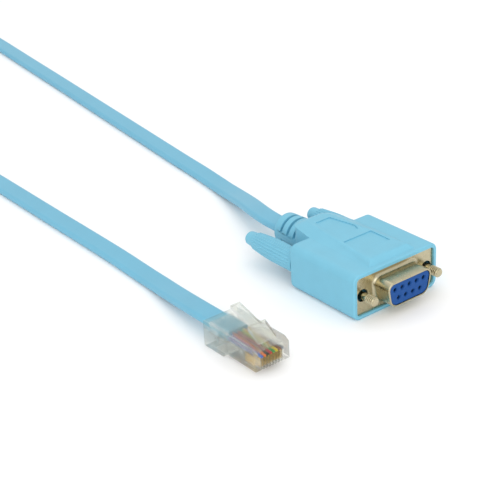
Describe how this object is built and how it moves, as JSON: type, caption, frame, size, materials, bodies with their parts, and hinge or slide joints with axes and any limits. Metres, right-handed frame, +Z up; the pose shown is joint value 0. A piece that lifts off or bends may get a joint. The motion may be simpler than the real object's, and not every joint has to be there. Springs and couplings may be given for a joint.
{
  "type": "rj45 console cable",
  "caption": "Flat light-blue console cable with a D connector in a moulded hood with thumbscrews on one end and a clear modular plug on the other, spare length coiled.",
  "frame": {"origin": "middle of the hood's flat underside, on the surface that the cable lies on", "axes": "+X across the hood, to the right when looking from the mating face towards the cable, +Y from the mating face towards the cable, +Z up"},
  "size_m": [0.0977, 0.4072, 0.0158],
  "materials": {
    "hood_vinyl": "moulded flexible vinyl, light blue, fine matt texture",
    "knob_vinyl": "moulded vinyl sleeve, light blue, finely ribbed",
    "cable_jacket": "extruded flexible vinyl, light blue, satin",
    "plated_steel": "pressed and turned steel, nickel plated, bright with a warm tone",
    "insulator_plastic": "moulded glass-filled polyester, deep blue, satin",
    "contact_gold": "copper alloy, gold plated",
    "tie_plastic": "black polyamide tie, satin",
    "clear_plastic": "moulded clear polycarbonate, polished, slightly warm",
    "wire_blue": "blue wire insulation",
    "wire_orange": "orange wire insulation",
    "wire_black": "black wire insulation",
    "wire_red": "red wire insulation",
    "wire_green": "green wire insulation",
    "wire_yellow": "yellow wire insulation",
    "wire_brown": "brown wire insulation",
    "wire_grey": "grey wire insulation"
  },
  "bodies": {
    "cable": {"hood": "hood_vinyl", "flange_shell": "plated_steel", "insulator": "insulator_plastic", "socket_contact_1": "contact_gold", "socket_contact_2": "contact_gold", "socket_contact_3": "contact_gold", "socket_contact_4": "contact_gold", "socket_contact_5": "contact_gold", "socket_contact_6": "contact_gold", "socket_contact_7": "contact_gold", "socket_contact_8": "contact_gold", "socket_contact_9": "contact_gold", "cable_to_hood": "cable_jacket", "cable_coil": "cable_jacket", "cable_coil_centre": "cable_jacket", "cable_to_plug": "cable_jacket", "cable_tie_1": "tie_plastic", "cable_tie_2": "tie_plastic", "plug_body": "clear_plastic", "wire_1": "wire_blue", "wire_2": "wire_orange", "wire_3": "wire_black", "wire_4": "wire_red", "wire_5": "wire_green", "wire_6": "wire_yellow", "wire_7": "wire_brown", "wire_8": "wire_grey", "contact_blade_1": "contact_gold", "contact_blade_2": "contact_gold", "contact_blade_3": "contact_gold", "contact_blade_4": "contact_gold", "contact_blade_5": "contact_gold", "contact_blade_6": "contact_gold", "contact_blade_7": "contact_gold", "contact_blade_8": "contact_gold"},
    "thumbscrew_left": {"screw_left": "plated_steel", "knob_left": "knob_vinyl"},
    "thumbscrew_right": {"screw_right": "plated_steel", "knob_right": "knob_vinyl"},
    "latch": {"plug_latch": "clear_plastic"}
  },
  "joints": [
    {"name": "thumbscrew_left_turn", "type": "hinge", "parent": "cable", "child": "thumbscrew_left", "pos_m": [-0.01249, 0, 0.00715], "axis": [0, 1, 0], "continuous": true},
    {"name": "thumbscrew_right_turn", "type": "hinge", "parent": "cable", "child": "thumbscrew_right", "pos_m": [0.01249, 0, 0.00715], "axis": [0, 1, 0], "continuous": true},
    {"name": "latch_press", "type": "hinge", "parent": "cable", "child": "latch", "pos_m": [-0.0487, -0.0153, 0.0085], "axis": [-1, 0, 0], "range_deg": [0, 14], "stiffness_Nm_per_rad": 0.02}
  ]
}
